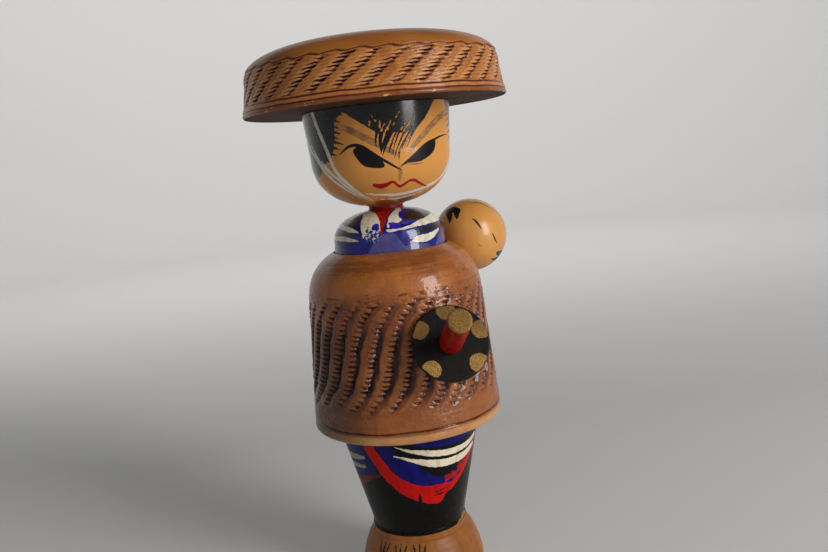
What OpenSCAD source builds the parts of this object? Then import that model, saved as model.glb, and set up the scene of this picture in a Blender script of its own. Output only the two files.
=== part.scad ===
// Turned wooden kokeshi doll: a traveller in a straw hat and straw cape, with a child's head
// looking over the left shoulder and a short sword in the belt.
// Every piece is lathe-turned and pegged to its neighbours with round dowels.
// The doll stands on z = 0 with its axis on Z, and the body's front faces -Y.

/* [Base] */
// Diameter of the base
base_d = 44.6; // [43:0.2:48]
// Height of the base
base_h = 22; // [20:1:25]
// Diameter of the base where the body stands on it
base_top_d = 34.4; // [34:0.2:38]

/* [Lower body] */
// Diameter of the lower body at the base
body_bottom_d = 33.4; // [32:0.2:34]
// Diameter of the lower body inside the cape
body_top_d = 52.6; // [50:0.2:54]

/* [Cape] */
// Height of the cape's lower face above the table
cape_z = 61.6; // [60:0.2:63]
// Diameter of the cape just above its rounded lower edge
cape_d = 67.2; // [66:0.2:72]
// How much the cape's diameter shrinks for each millimetre of height
cape_taper = 0.133; // [0.1:0.001:0.15]
// Height of the cape's rounded shoulder
cape_shoulder_h = 20.8; // [20:0.2:22]

/* [Shoulders] */
// Diameter of the shoulder dome where it leaves the cape
dome_d = 38.8; // [37:0.2:39.6]
// Height of the dome's rounded part
dome_h = 10.8; // [10:0.2:12]

/* [Head] */
// Diameter of the head at the widest part of its rounded jaw
head_d = 48.4; // [46:0.2:50]
// Height of the rounded jaw
jaw_h = 18.5; // [17:0.5:20]
// Height of the straight-sided part above the jaw
brow_h = 15; // [13:0.5:17]

/* [Hat] */
// Diameter of the hat at its lower rim
hat_d = 89.8; // [86:0.2:92]
// Height of the hat's carved wall
hat_wall_h = 10; // [9:0.2:11]
// Height of the hat's rounded top
hat_crown_h = 12.8; // [12:0.2:15]

/* [Child's head] */
// Diameter of the child's head
child_d = 27.6; // [26:0.2:28]
// Direction of the child's head, turned from the doll's front towards its left
child_azimuth = 135; // [128:0.5:140]
// Distance of the child's head from the doll's axis
child_reach = 39.3; // [39:0.1:40.5]
// Height of the child's head
child_z = 121.3; // [120.8:0.1:123]
// Upward slope of the child's peg
child_slope = 41; // [38:1:44]

/* [Sword] */
// Diameter of the sword guard
guard_d = 24.9; // [23:0.1:25.4]
// Thickness of the sword guard
guard_t = 2; // [1.6:0.1:2.4]
// Diameter of the hilt
hilt_d = 7.4; // [7:0.2:8.4]
// Length of the hilt in front of the guard
hilt_l = 24; // [20:0.5:28]
// Direction that the hilt points to, turned from the doll's front towards its left
hilt_turn = 12; // [10:1:14]
// Upward slope of the hilt
hilt_slope = 28; // [26:1:30]

/* [Hidden] */
$fn = 96;
curve_steps = 16;

// Gap between a glued dowel and its hole, and between a turning piece and its peg
glue_gap = 0.03;
turn_gap = 0.05;
// Gap between two faces that turn against each other
face_gap = 0.25;
// How far a bore runs past the surface that it opens through
past = 1;

// Dowels: diameter, and the length in each of the two pieces that they join
base_dowel_d = 10;
base_dowel_grip = 13;
body_dowel_d = 12;
body_dowel_grip = 14;
neck_peg_d = 12;
neck_peg_grip = 13;
neck_peg_reach = 18;
crown_peg_d = 8;
crown_peg_grip = 12;
crown_peg_reach = 13;
child_peg_d = 4;
child_peg_grip = 10;
child_peg_in_head = 7;
tenon_d = 4.6;
tenon_l = 20;
dowel_chamfer = 0.6;

// Base
base_edge = 0.8;
base_wall_h = 7;
base_neck_h = 2;
base_power = 1.4;

// Lower body: its top is let into a recess under the cape
body_let_in = 2.4;
body_top_z = cape_z + body_let_in;
body_foot_h = 1.4;
body_foot_d = body_bottom_d + 0.4;

// Cape
edge_r = 1.2;
groove_z = cape_z + 4;
groove_w = 1.1;
groove_depth = 0.4;
cape_shoulder_z = cape_z + 43.4;
cape_power = 2.8;
dome_seat_z = cape_shoulder_z + 11;
spigot_d = 24;
spigot_l = 12;

// Shoulders
dome_z = cape_shoulder_z + 21;
dome_power = 2.4;
dome_taper = 0.07;
neck_z = dome_z + dome_h;

// Head
jaw_z = neck_z + face_gap;
jaw_power = 2.3;
brow_flare = 0.08;
neck_flat_r = 4.6;
crown_z = jaw_z + jaw_h + brow_h;

// Hat
hat_z = crown_z + face_gap;
hat_top_d = hat_d - 2.9;
hat_power = 2.8;
rim_round = 0.5;

// Sword: the guard's rim touches the cape, and the tenon crosses the gap behind it
guard_azimuth = 30.4;
guard_reach = 39.2;
guard_z = 94.5;
hilt_chamfer = 0.4;

// The last quarter of a rounded top, from its rim at [r, 0] to the axis at [0, h]; its width
// also shrinks by `taper` for each unit of height
function crown_curve(r, h, power, taper) = [
    for (i = [0 : curve_steps])
    let (a = 90 * i / curve_steps, z = h * pow(sin(a), 2 / power))
    [(r - taper * z) * pow(cos(a), 2 / power), z]
];

// Points of a curve moved up by dz
function raised(points, dz) = [for (p = points) [p[0], p[1] + dz]];

// Points of a curve in the opposite order
function reversed(points) = [for (i = [len(points) - 1 : -1 : 0]) points[i]];

// Radius of the cape's straight side at height z
function cape_r(z) = (cape_d - cape_taper * (z - cape_z - edge_r)) / 2;

module turned(points) {
    rotate_extrude() polygon(points);
}

// Round dowel on Z with chamfered ends
module dowel(d, l) {
    r = d / 2;
    turned([
        [0, 0], [r - dowel_chamfer, 0], [r, dowel_chamfer],
        [r, l - dowel_chamfer], [r - dowel_chamfer, l], [0, l]
    ]);
}

// Hole for a dowel of diameter d, from z0 to z1
module dowel_hole(d, z0, z1, gap) {
    translate([0, 0, z0]) cylinder(d = d + 2 * gap, h = z1 - z0);
}

// Moves children to a point around the doll, with their Z axis sloping up and outwards
module on_side(azimuth, reach, z, turn, slope) {
    translate([reach * sin(azimuth), -reach * cos(azimuth), z])
        rotate([90 - slope, 0, turn])
            children();
}

module on_child_axis() {
    on_side(child_azimuth, child_reach, child_z, child_azimuth, child_slope) children();
}

module on_sword_axis() {
    on_side(guard_azimuth, guard_reach, guard_z, hilt_turn, hilt_slope) children();
}

// Turned foot: a straight wall, a sloping rounded shoulder and a short neck
module base() {
    base_r = base_d / 2;
    top_r = base_top_d / 2;
    shoulder_h = base_h - base_neck_h - base_wall_h;
    shoulder = [
        for (p = crown_curve(base_r - top_r, shoulder_h, base_power, 0))
        [top_r + p[0], base_wall_h + p[1]]
    ];
    color("burlywood") difference() {
        turned(concat(
            [[0, 0], [base_r - base_edge, 0], [base_r, base_edge]],
            shoulder,
            [[top_r, base_h], [0, base_h]]
        ));
        dowel_hole(base_dowel_d, base_h - base_dowel_grip - past, base_h + past, glue_gap);
    }
}

module base_dowel() {
    color("tan") translate([0, 0, base_h - base_dowel_grip]) dowel(base_dowel_d, 2 * base_dowel_grip);
}

// Flared cone of the kimono, with a small turned foot, let into the underside of the cape
module lower_body() {
    color("midnightblue") difference() {
        turned([
            [0, base_h], [body_foot_d / 2, base_h], [body_foot_d / 2, base_h + body_foot_h / 2],
            [body_bottom_d / 2, base_h + body_foot_h], [body_top_d / 2, body_top_z], [0, body_top_z]
        ]);
        dowel_hole(base_dowel_d, base_h - past, base_h + base_dowel_grip + past, glue_gap);
        dowel_hole(body_dowel_d, body_top_z - body_dowel_grip - past, body_top_z + past, glue_gap);
    }
}

module body_dowel() {
    color("tan") translate([0, 0, body_top_z - body_dowel_grip]) dowel(body_dowel_d, 2 * body_dowel_grip);
}

// Straw cape: rounded lower edge, cut groove, tapered side and rounded shoulder, with a shallow
// round seat for the child's head
module cape() {
    edge_in = cape_d / 2 - edge_r;
    edge = [
        for (a = [-90 : 15 : 0])
        [edge_in + edge_r * cos(a), cape_z + edge_r * (1 + sin(a))]
    ];
    groove = [
        [cape_r(groove_z - groove_w / 2), groove_z - groove_w / 2],
        [cape_r(groove_z) - groove_depth, groove_z],
        [cape_r(groove_z + groove_w / 2), groove_z + groove_w / 2]
    ];
    shoulder = raised(
        crown_curve(cape_r(cape_shoulder_z), cape_shoulder_h, cape_power, cape_taper / 2),
        cape_shoulder_z
    );
    color("sienna") difference() {
        turned(concat([[0, cape_z]], edge, groove, shoulder));
        dowel_hole(body_top_d, cape_z - past, body_top_z, glue_gap);
        dowel_hole(body_dowel_d, cape_z, body_top_z + body_dowel_grip + past, glue_gap);
        dowel_hole(dome_d + 2 * dome_taper * (dome_z - dome_seat_z), dome_seat_z, dome_z + past, glue_gap);
        dowel_hole(spigot_d, dome_seat_z - spigot_l - past, dome_seat_z + past, glue_gap);
        on_child_axis() sphere(d = child_d + 2 * face_gap);
        on_child_axis() dowel_hole(child_peg_d, -child_d / 2 - child_peg_grip - past, 0, glue_gap);
        on_sword_axis() dowel_hole(tenon_d, -tenon_l - past, 0, glue_gap);
    }
}

// Kimono shoulders: a dome above the cape and a spigot glued into it
module shoulders() {
    seat_r = dome_d / 2 + dome_taper * (dome_z - dome_seat_z);
    dome = raised(crown_curve(dome_d / 2, dome_h, dome_power, 0), dome_z);
    color("royalblue") difference() {
        turned(concat(
            [[0, dome_seat_z - spigot_l], [spigot_d / 2, dome_seat_z - spigot_l]],
            [[spigot_d / 2, dome_seat_z], [seat_r, dome_seat_z]],
            dome
        ));
        dowel_hole(neck_peg_d, neck_z - neck_peg_grip - past, neck_z + past, glue_gap);
    }
}

module neck_peg() {
    color("tan") translate([0, 0, neck_z - neck_peg_grip])
        dowel(neck_peg_d, neck_peg_grip + face_gap + neck_peg_reach);
}

// Head: rounded jaw, sides that flare a little towards a flat crown
module head() {
    jaw_curve = [
        for (p = crown_curve(head_d / 2, jaw_h, jaw_power, 0))
        if (p[0] > neck_flat_r)
        [p[0], jaw_z + jaw_h - p[1]]
    ];
    crown_r = head_d / 2 + brow_flare * brow_h;
    color("peru") difference() {
        turned(concat(
            [[0, jaw_z], [neck_flat_r, jaw_z]],
            reversed(jaw_curve),
            [[crown_r, crown_z], [0, crown_z]]
        ));
        dowel_hole(neck_peg_d, jaw_z - past, jaw_z + neck_peg_reach + past, turn_gap);
        dowel_hole(crown_peg_d, crown_z - crown_peg_grip - past, crown_z + past, glue_gap);
    }
}

module crown_peg() {
    color("tan") translate([0, 0, crown_z - crown_peg_grip])
        dowel(crown_peg_d, crown_peg_grip + face_gap + crown_peg_reach);
}

// Straw hat: flat underside, slightly sloping wall and domed top
module hat() {
    hat_r = hat_d / 2;
    dome = raised(crown_curve(hat_top_d / 2, hat_crown_h, hat_power, 0), hat_z + hat_wall_h);
    color("saddlebrown") difference() {
        turned(concat([[0, hat_z], [hat_r - rim_round, hat_z], [hat_r, hat_z + rim_round]], dome));
        dowel_hole(crown_peg_d, hat_z - past, hat_z + crown_peg_reach + past, turn_gap);
    }
}

module child_peg() {
    color("tan") on_child_axis()
        translate([0, 0, -child_d / 2 - child_peg_grip])
            dowel(child_peg_d, child_peg_grip + child_peg_in_head);
}

// Child's head: a turned ball, bored for its peg
module child_head() {
    color("peru") on_child_axis() difference() {
        sphere(d = child_d);
        dowel_hole(child_peg_d, -child_d / 2 - past, child_peg_in_head - child_d / 2 + past, turn_gap);
    }
}

// Sword guard: a thin disc, threaded on the hilt's tenon
module sword_guard() {
    color("black") on_sword_axis() difference() {
        translate([0, 0, -guard_t]) cylinder(d = guard_d, h = guard_t);
        dowel_hole(tenon_d, -guard_t - past, past, glue_gap);
    }
}

// Sword hilt with its tenon, which passes through the guard into the cape
module sword_hilt() {
    hilt_r = hilt_d / 2;
    tenon_r = tenon_d / 2;
    color("firebrick") on_sword_axis() turned([
        [0, -tenon_l], [tenon_r, -tenon_l], [tenon_r, 0], [hilt_r, 0],
        [hilt_r, hilt_l - hilt_chamfer], [hilt_r - hilt_chamfer, hilt_l], [0, hilt_l]
    ]);
}

base();
base_dowel();
lower_body();
body_dowel();
cape();
shoulders();
neck_peg();
head();
crown_peg();
hat();
child_peg();
child_head();
sword_guard();
sword_hilt();
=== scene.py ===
"""Looks of the turned kokeshi doll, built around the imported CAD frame.

Lengths are in millimetres and azimuths in degrees, measured from the body's front (-Y) towards the
doll's left (+X); meshes are written in metres.
"""
import math

import bpy
import numpy as np
from mathutils import Matrix, Vector


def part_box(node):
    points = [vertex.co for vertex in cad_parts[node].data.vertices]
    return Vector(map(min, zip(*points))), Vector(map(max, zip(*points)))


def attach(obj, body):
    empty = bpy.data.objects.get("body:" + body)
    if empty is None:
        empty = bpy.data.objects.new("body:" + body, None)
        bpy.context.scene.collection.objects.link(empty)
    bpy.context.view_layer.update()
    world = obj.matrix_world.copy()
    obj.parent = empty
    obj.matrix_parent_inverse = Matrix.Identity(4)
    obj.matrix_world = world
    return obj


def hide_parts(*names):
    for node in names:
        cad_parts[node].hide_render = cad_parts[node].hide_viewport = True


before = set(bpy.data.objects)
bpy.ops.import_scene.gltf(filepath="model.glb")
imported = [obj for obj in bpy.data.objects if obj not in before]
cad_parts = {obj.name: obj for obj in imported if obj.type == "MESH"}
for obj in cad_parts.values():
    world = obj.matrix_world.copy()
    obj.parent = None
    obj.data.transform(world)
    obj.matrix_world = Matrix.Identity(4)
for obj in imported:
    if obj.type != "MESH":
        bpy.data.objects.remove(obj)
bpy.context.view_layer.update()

MM = 0.001
RNG = np.random.default_rng(11)


# ---------------------------------------------------------------- places taken from the frame
def low(node):
    """Height in mm of a CAD node's lowest point."""
    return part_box(node)[0].z / MM


def high(node):
    """Height in mm of a CAD node's highest point."""
    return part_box(node)[1].z / MM


def wide(node):
    """Largest radius in mm of a CAD node turned about the doll's axis."""
    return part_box(node)[1].x / MM


BASE_H = high("base")
BASE_R = wide("base")
BODY_TOP = high("lower_body")
BODY_R = wide("lower_body")
CAPE_Z = low("cape")
CAPE_R = wide("cape")
NECK_Z = high("shoulders")
HEAD_Z = low("head")
CROWN_Z = high("head")
HAT_Z = low("hat")
HAT_TOP = high("hat")
HAT_R = wide("hat")

BASE_TOP_R = 17.2
BASE_WALL_H = 7.0
BASE_NECK_H = 2.0
BODY_FOOT_R = 16.7
EDGE_R = 1.2
CAPE_TAPER = 0.0665
GROOVE_Z = CAPE_Z + 4
SHOULDER_Z = CAPE_Z + 43.4
SHOULDER_H = 20.8
DOME_R = 19.4
DOME_FOOT_R = DOME_R + 0.7
DOME_Z = NECK_Z - 10.8
DOME_SEAT_Z = DOME_Z - 10
SPIGOT_Z = low("shoulders")
HEAD_R = 24.2
JAW_H = 18.5
BROW_FLARE = 0.08
NECK_FLAT_R = 4.6
HAT_WALL_H = 10.0
HAT_TOP_R = HAT_R - 1.45
FACE_TURN = 22
BASE_BORE_R, BASE_BORE_H = 5.03, 14
BODY_BORE_R, BODY_BORE_H = 6.03, 15
NECK_BORE_R, NECK_BORE_H = 6.05, 19
PEG_SEAT_H = 14
CROWN_BORE_R, CROWN_BORE_H = 4.03, 13
HAT_BORE_R, HAT_BORE_H = 4.05, 14
SPIGOT_R = 12
GLUE_GAP = 0.03
CARVED_CAPE_R, CARVED_HAT_R = 32.5, 43.7

CHILD_R = 13.8
CHILD_AZIMUTH = 135
CHILD_REACH = 39.3
CHILD_Z = 121.3
CHILD = Vector((
    CHILD_REACH * math.sin(math.radians(CHILD_AZIMUTH)),
    -CHILD_REACH * math.cos(math.radians(CHILD_AZIMUTH)),
    CHILD_Z,
))
CHILD_SLOPE = 41
CHILD_PEG_HOLE = 8
CHILD_BORE_R = 2.05
CHILD_FRONT = -106
GUARD_AZIMUTH = 30.4
GUARD_REACH = 39.2
GUARD_Z = 94.5
GUARD_R = 12.45
GUARD_T = 2.0
HILT_TURN = 12
HILT_SLOPE = 28
HILT_R = 3.7
HILT_L = 24.0


# ---------------------------------------------------------------- shapes
def smooth(start, end, x):
    """0 below start, 1 above end, and a smooth step between them."""
    t = np.clip((x - start) / (end - start), 0, 1)
    return t * t * (3 - 2 * t)


def hill(start, full, fading, end, x):
    """Rises from 0 at start to 1 at full, and falls back to 0 between fading and end."""
    return smooth(start, full, x) * (1 - smooth(fading, end, x))

def bell(x, width):
    """1 at 0, falling away smoothly on both sides."""
    return np.exp(-((x / width) ** 2))

def wrap(degrees):
    return (degrees + 180) % 360 - 180


def crown(r, h, power, taper=0, steps=40):
    """Last quarter of a rounded top, from (r, 0) to (0, h)."""
    a = np.linspace(0, math.pi / 2, steps)
    up = h * np.sin(a) ** (2 / power)
    return np.stack([(r - taper * up) * np.abs(np.cos(a)) ** (2 / power), up], 1)


def arc(r, z, radius, start, end, steps=10):
    """Arc in the (radius, height) plane, about the point (r, z)."""
    a = np.radians(np.linspace(start, end, steps))
    return np.stack([r + radius * np.cos(a), z + radius * np.sin(a)], 1)


def stem(r, mouth, end):
    """Outline of a blind bore or a spigot on the axis, from its mouth to its end."""
    return [(r, mouth), (r, end), (0, end)]

def dense(parts, step):
    """Joins runs of (radius, height) points and splits every stretch longer than step(height)."""
    points = np.concatenate([np.asarray(p, float).reshape(-1, 2) for p in parts])
    out = [points[0]]
    for p in points[1:]:
        length = np.hypot(*(p - out[-1]))
        if length < 1e-6:
            continue
        pieces = max(1, math.ceil(length / step((p[1] + out[-1][1]) / 2)))
        start = out[-1]
        out.extend(start + (p - start) * k / pieces for k in range(1, pieces + 1))
    return np.array(out)


def azimuths(centre=0, half=180, fine=0.6, coarse=2.0):
    """Column azimuths, fine within half of the centre and coarse elsewhere."""
    inner = np.arange(-half, half, fine)
    outer = np.arange(half, 360 - half, coarse)
    return centre + np.concatenate([inner, outer])


def turned(name, outline, columns, carve=None, place=None):
    """Closed mesh turned about Z. The outline runs from the axis to the axis, outside on its right.
    carve(azimuth, height) gives how deep the surface is cut, in mm."""
    slope = np.gradient(outline, axis=0)
    normal = np.stack([slope[:, 1], -slope[:, 0]], 1)
    normal /= np.maximum(np.linalg.norm(normal, axis=1, keepdims=True), 1e-9)
    ring, normal = outline[1:-1], normal[1:-1]
    az, r = np.meshgrid(columns, ring[:, 0])
    z = np.broadcast_to(ring[:, 1:2], az.shape).copy()
    if carve:
        depth = carve(az, z, r)
        r = r - depth * normal[:, 0:1]
        z = z - depth * normal[:, 1:2]
    a = np.radians(az)
    co = np.stack([r * np.sin(a), -r * np.cos(a), z], -1).reshape(-1, 3)
    poles = [[0, 0, outline[0, 1]], [0, 0, outline[-1, 1]]]
    co = np.concatenate([co, poles]) * MM
    rows, cols = az.shape
    i, j = np.meshgrid(np.arange(rows - 1), np.arange(cols), indexing="ij")
    k = (j + 1) % cols
    quads = np.stack([i * cols + j, i * cols + k, (i + 1) * cols + k, (i + 1) * cols + j], -1)
    j = np.arange(cols)
    k = (j + 1) % cols
    bottom = np.stack([np.full(cols, rows * cols), k, j], -1)
    top = np.stack([np.full(cols, rows * cols + 1), (rows - 1) * cols + j, (rows - 1) * cols + k], -1)
    mesh = bpy.data.meshes.new(name)
    faces = quads.reshape(-1, 4).tolist() + bottom.tolist() + top.tolist()
    mesh.from_pydata(co.tolist(), [], faces)
    mesh.polygons.foreach_set("use_smooth", np.ones(len(faces), bool))
    mesh.set_sharp_from_angle(angle=math.radians(50))
    if place is not None:
        mesh.transform(place)
    piece = bpy.data.objects.new(name, mesh)
    bpy.context.scene.collection.objects.link(piece)
    return piece, az, z


def mark(piece, name, values):
    """Stores one number per ring vertex; the two poles take the first and the last."""
    flat = np.asarray(values, np.float32).ravel()
    data = np.concatenate([flat, flat[:1], flat[-1:]])
    piece.data.attributes.new(name, "FLOAT", "POINT").data.foreach_set("value", data)


# ---------------------------------------------------------------- painting
FAR = 3.0


def spline(points, steps=8):
    """Catmull-Rom curve through the points."""
    p = np.asarray(points, float)
    if len(p) < 3:
        return p
    p = np.concatenate([2 * p[:1] - p[1:2], p, 2 * p[-1:] - p[-2:-1]])
    t = np.linspace(0, 1, steps, endpoint=False)[:, None]
    out = []
    for a, b, c, d in zip(p, p[1:], p[2:], p[3:]):
        bend, twist = 2 * a - 5 * b + 4 * c - d, 3 * b - a - 3 * c + d
        out.append(0.5 * (2 * b + (c - a) * t + bend * t**2 + twist * t**3))
    return np.concatenate(out + [p[-2:-1]])


class Canvas:
    """Painted layers on a surface, each kept as the distance in mm to the edge of its paint,
    negative inside. Points are (azimuth from the canvas's front, height)."""

    def __init__(self, az, z, radius, front=0):
        self.mm_per_deg = math.radians(radius)
        self.shape = az.shape
        self.az = wrap(az - front).ravel()
        self.u = self.az * self.mm_per_deg
        self.z = z.ravel()
        self.layers = {}

    def layer(self, name):
        return self.layers.setdefault(name, np.full(self.u.size, FAR))

    def near(self, points, reach):
        low_corner, high_corner = points.min(0) - reach - FAR, points.max(0) + reach + FAR
        return np.flatnonzero(
            (self.u > low_corner[0]) & (self.u < high_corner[0])
            & (self.z > low_corner[1]) & (self.z < high_corner[1])
        )

    def distance(self, ids, points, widths):
        """Distance from the vertices ids to a line that is widths[k] wide on each side at points[k]."""
        best = np.full(ids.size, FAR)
        q = np.stack([self.u[ids], self.z[ids]], 1)
        for a, b, wa, wb in zip(points, points[1:], widths, widths[1:]):
            ab = b - a
            t = np.clip(((q - a) @ ab) / max(ab @ ab, 1e-9), 0, 1)
            d = np.hypot(*(q - a - t[:, None] * ab).T) - (wa + (wb - wa) * t)
            best = np.minimum(best, d)
        return best

    def stroke(self, name, points, widths):
        """Brush stroke through the points, widths[k] wide on each side of points[k]."""
        points = np.asarray(points, float) * [self.mm_per_deg, 1]
        curve = spline(points)
        along = np.linspace(0, 1, len(curve))
        widths = np.interp(along, np.linspace(0, 1, len(widths)), widths)
        ids = self.near(curve, widths.max())
        layer = self.layer(name)
        layer[ids] = np.minimum(layer[ids], self.distance(ids, curve, widths))

    def patch(self, name, points, rounded=True, cut=False):
        """Filled outline; with cut it takes paint away."""
        points = np.asarray(points, float) * [self.mm_per_deg, 1]
        if rounded:
            n = len(points)
            looped = spline(np.concatenate([points[-2:], points, points[:2]]))
            curve = looped[16 : 16 + 8 * n + 1]
        else:
            curve = np.concatenate([points, points[:1]])
        ids = self.near(curve, 0)
        d = self.distance(ids, curve, np.zeros(len(curve)))
        x, y = self.u[ids], self.z[ids]
        inside = np.zeros(ids.size, bool)
        for (x0, y0), (x1, y1) in zip(curve, curve[1:]):
            if y0 != y1:
                inside ^= ((y0 > y) != (y1 > y)) & (x < (x1 - x0) * (y - y0) / (y1 - y0) + x0)
        d = np.where(inside, -d, d)
        layer = self.layer(name)
        if cut:
            layer[ids] = np.maximum(layer[ids], -d)
        else:
            layer[ids] = np.minimum(layer[ids], d)

    def save(self, piece):
        for name, values in self.layers.items():
            mark(piece, name, values)


# ---------------------------------------------------------------- materials
def rgb(r, g, b):
    """Linear colour from the usual 0 to 255 numbers."""
    return tuple(((c / 255 + 0.055) / 1.055) ** 2.4 if c > 10 else c / 3294.6 for c in (r, g, b)) + (1.0,)


class Material:
    """A node material on one Principled shader, built up from sockets."""

    def __init__(self, name):
        self.material = bpy.data.materials.new(name)
        self.material.use_nodes = True
        self.tree = self.material.node_tree
        self.tree.nodes.clear()
        self.shader = self.tree.nodes.new("ShaderNodeBsdfPrincipled")
        out = self.tree.nodes.new("ShaderNodeOutputMaterial")
        self.tree.links.new(self.shader.outputs[0], out.inputs[0])
        self.place = self.tree.nodes.new("ShaderNodeTexCoord").outputs["Object"]
        self.colour = None

    def feed(self, socket, value):
        if isinstance(value, bpy.types.NodeSocket):
            self.tree.links.new(value, socket)
        else:
            socket.default_value = value

    def add(self, kind, inputs, out=0, **settings):
        made = self.tree.nodes.new("ShaderNode" + kind)
        for key, value in settings.items():
            setattr(made, key, value)
        for key, value in inputs.items():
            self.feed(made.inputs[key], value)
        return made.outputs[out]

    def set(self, **inputs):
        for key, value in inputs.items():
            self.feed(self.shader.inputs[key.replace("_", " ").title().replace("Ior", "IOR")], value)

    def attribute(self, name):
        return self.add("Attribute", {}, "Fac", attribute_name=name)

    def stretched(self, x, y, z):
        return self.add("Mapping", {"Vector": self.place, "Scale": (x, y, z)})

    def noise(self, scale, detail=3, rough=0.5, vector=None, distortion=0):
        return self.add("TexNoise", {
            "Vector": vector or self.place, "Scale": scale, "Detail": detail,
            "Roughness": rough, "Distortion": distortion,
        })

    def math(self, operation, a, b=0.0, c=0.0):
        return self.add("Math", {0: a, 1: b, 2: c}, operation=operation)

    def times(self, a, b, plus=0.0):
        """a times b, plus a third value."""
        return self.math("MULTIPLY_ADD", a, b, plus)

    def span(self, value, start, end, low=0.0, high=1.0):
        return self.add("MapRange", {
            "Value": value, "From Min": start, "From Max": end, "To Min": low, "To Max": high,
        }, interpolation_type="SMOOTHSTEP")

    def mix(self, factor, a, b, blend="MIX"):
        made = self.tree.nodes.new("ShaderNodeMix")
        made.data_type = "RGBA"
        made.blend_type = blend
        for socket, value in ((made.inputs[0], factor), (made.inputs[6], a), (made.inputs[7], b)):
            self.feed(socket, value)
        return made.outputs[2]

    def cover(self, factor, colour, blend="MIX"):
        """Lays a colour over the material's colour so far, where the factor is 1."""
        self.colour = self.mix(factor, self.colour, colour, blend)

    def bump(self, height, distance, strength):
        return self.add("Bump", {"Height": height, "Distance": distance, "Strength": strength})

    def frayed(self, value, amount, scale, detail=3, rough=0.6):
        """The value, moved by noise by up to half the amount either way."""
        wander = self.math("SUBTRACT", self.noise(scale, detail, rough), 0.5)
        return self.times(wander, amount, value)

    def painted(self, name, ragged=0.0, scale=900, soft=0.05):
        """1 where the layer is painted; ragged is how far, in mm, noise moves its edge."""
        distance = self.attribute(name)
        if ragged:
            distance = self.frayed(distance, 4 * ragged, scale)
        return self.span(distance, soft, -soft)

    def on(self, piece):
        piece.data.materials.clear()
        piece.data.materials.append(self.material)


def wood(m, light, dark, ring=230, grain=1.0):
    """Turned wood: soft growth rings, long fibres along Z and short dark pores. Returns its colour."""
    fibres = m.noise(ring, 4, 0.6, m.stretched(1, 1, 0.06), 0.4)
    cloud = m.noise(28, 3, 0.5)
    tone = m.times(fibres, 0.6 * grain, m.times(cloud, 0.5))
    colour = m.mix(m.span(tone, 0.35, 0.75), light, dark)
    pores = m.noise(1900, 2, 0.5, m.stretched(1, 1, 0.05))
    return m.mix(m.span(pores, 0.66, 0.76, 0, 0.35), colour, tuple(0.35 * c for c in dark[:3]) + (1,))


def lathe_lines(m, scale=2200):
    """Fine turning marks round the piece."""
    return m.noise(scale, 2, 0.5, m.stretched(0.02, 0.02, 1))


def varnish(m, rough=0.3, coat=0.2, coat_rough=0.15, gloss=0.2):
    """Clear varnish with a smudged sheen; gloss is how much the paint under it mirrors."""
    m.set(coat_weight=coat, coat_roughness=coat_rough, ior=1.5, specular_ior_level=gloss)
    smudge = m.noise(60, 4, 0.6)
    m.set(roughness=m.span(smudge, 0.3, 0.7, rough - 0.06, rough + 0.1))


def brush_paint(m, colour, amount=0.25):
    """Paint with faint darker brush streaks."""
    streak = m.noise(420, 3, 0.6, m.stretched(1, 1, 0.35), 0.6)
    dark = tuple((1 - amount) * 0.8 * c for c in colour[:3]) + (1,)
    return m.mix(m.span(streak, 0.42, 0.68), colour, dark)


def finish_piece(piece, body, node, material):
    material.on(piece)
    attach(piece, body)
    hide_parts(node)


# ---------------------------------------------------------------- camera, stage and lights
VIEW_TURN = 7.0
VIEW_DISTANCE = 0.27376
VIEW_HEIGHT = 0.15263
VIEW_DOWN = 8.58
VIEW_YAW = 1.5
VIEW_ROLL = -6.0
LENS = 33.91
STAGE_GLOW = 0.11


def make_camera():
    data = bpy.data.cameras.new("camera")
    data.lens = LENS
    data.sensor_width = 36
    data.clip_start = 0.01
    camera = bpy.data.objects.new("camera", data)
    bpy.context.scene.collection.objects.link(camera)
    turn = Matrix.Rotation(math.radians(VIEW_TURN), 4, "Z")
    yaw = Matrix.Rotation(math.radians(-VIEW_YAW), 4, "Z")
    down = Matrix.Rotation(math.radians(90 - VIEW_DOWN), 4, "X")
    roll = Matrix.Rotation(math.radians(VIEW_ROLL), 4, "Z")
    place = Matrix.Translation((0, -VIEW_DISTANCE, VIEW_HEIGHT))
    camera.matrix_world = turn @ place @ yaw @ down @ roll
    bpy.context.scene.camera = camera


def make_stage():
    """Pale round floor that curves up into a backdrop all round the doll."""
    floor_r, sweep, top = 1.3, 0.5, 1.4
    curve = [(0.001, 0.0), (0.5, 0.0), (floor_r, 0.0)]
    curve += [
        (floor_r + sweep * math.sin(a), sweep - sweep * math.cos(a))
        for a in np.radians(np.arange(5, 91, 5))
    ]
    curve.append((floor_r + sweep, top))
    turns = 96
    directions = 2 * math.pi * np.arange(turns) / turns
    co = [(r * math.cos(a), r * math.sin(a), z) for r, z in curve for a in directions]
    faces = [
        (k * turns + j, k * turns + (j + 1) % turns, (k + 1) * turns + (j + 1) % turns, (k + 1) * turns + j)
        for k in range(len(curve) - 1) for j in range(turns)
    ]
    faces.append(tuple(range(turns - 1, -1, -1)))
    mesh = bpy.data.meshes.new("backdrop")
    mesh.from_pydata(co, [], faces)
    mesh.polygons.foreach_set("use_smooth", [True] * len(faces))
    stage = bpy.data.objects.new("backdrop", mesh)
    bpy.context.scene.collection.objects.link(stage)
    m = Material("backdrop_paper")
    m.set(base_color=rgb(214, 213, 212), roughness=0.9, specular_ior_level=0.1)
    m.set(emission_color=rgb(214, 213, 212), emission_strength=STAGE_GLOW)
    m.on(stage)


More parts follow.
